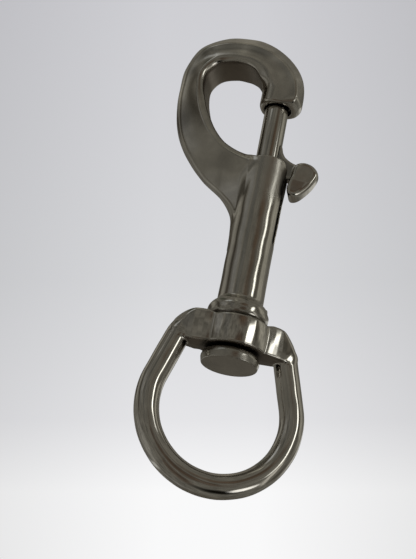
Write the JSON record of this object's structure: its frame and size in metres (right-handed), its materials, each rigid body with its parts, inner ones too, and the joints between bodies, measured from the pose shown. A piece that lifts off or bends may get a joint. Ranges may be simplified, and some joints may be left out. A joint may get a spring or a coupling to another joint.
{
  "type": "swivel eye bolt snap",
  "caption": "Swivel-eye bolt snap: cast hook closed by a spring-loaded sliding bolt with thumb knob, on an eye that swivels about a headed stud.",
  "frame": {"origin": "centre of the round opening of the swivel eye, on the swivel axis", "axes": "+Z along the barrel axis towards the hook; X in the plane of the hook with the thumb knob on +X; the eye stands turned 23.8 degrees about +Z at rest"},
  "size_m": [0.0397, 0.0172, 0.1082],
  "materials": {
    "cast_body": "polished cast 316 stainless, soft edges",
    "bolt_steel": "polished turned stainless rod",
    "knob_steel": "polished cast stainless",
    "spring_steel": "drawn stainless spring wire",
    "stud_steel": "polished rim with a ground, matt face",
    "pin_steel": "ground flush",
    "eye_steel": "polished forged stainless"
  },
  "bodies": {
    "barrel": {"snap_body": "cast_body", "swivel_stud": "stud_steel", "stud_lock_pin": "pin_steel", "bolt_spring": "spring_steel"},
    "bolt": {"sliding_bolt": "bolt_steel", "thumb_knob": "knob_steel"},
    "eye": {"swivel_eye": "eye_steel"}
  },
  "joints": [
    {"name": "bolt_slide", "type": "slide", "parent": "barrel", "child": "bolt", "axis": [0, 0, -1], "range_m": [0, 0.0154], "stiffness_N_per_m": 350, "springref_m": -0.008, "deforming": ["bolt_spring"]},
    {"name": "eye_swivel", "type": "hinge", "parent": "barrel", "child": "eye", "pos_m": [0, 0, 0.0158], "axis": [0, 0, 1], "continuous": true}
  ]
}
